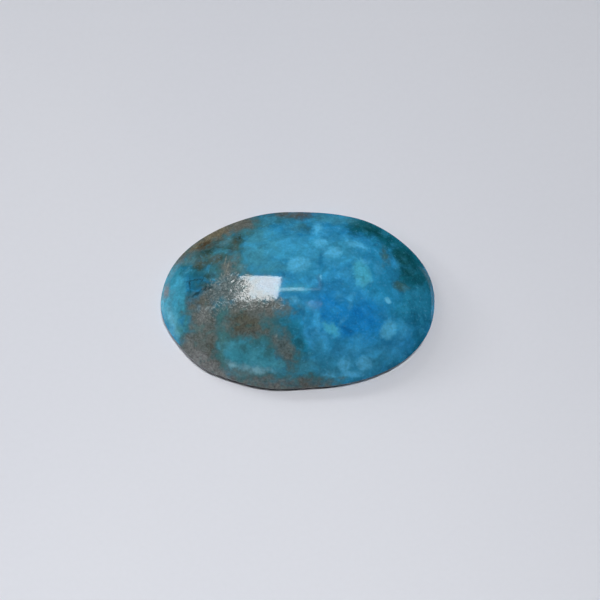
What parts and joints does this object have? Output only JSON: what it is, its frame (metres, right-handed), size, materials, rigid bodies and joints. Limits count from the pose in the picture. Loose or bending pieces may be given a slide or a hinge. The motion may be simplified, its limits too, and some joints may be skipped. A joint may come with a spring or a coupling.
{
  "type": "oval turquoise cabochon",
  "caption": "Polished oval cabochon of blue turquoise with grey-brown matrix, domed on top and flat on the back, a loose stone for a ring or pendant setting.",
  "frame": {"origin": "middle of the flat back, at the centre of the stone's length and width", "axes": "+X along the stone's long way, +Y across it, +Z out of the flat back towards the top of the dome"},
  "size_m": [0.025, 0.0166, 0.0044],
  "materials": {
    "turquoise": "waxy polish"
  },
  "bodies": {
    "root": {"cabochon": "turquoise"}
  },
  "joints": []
}
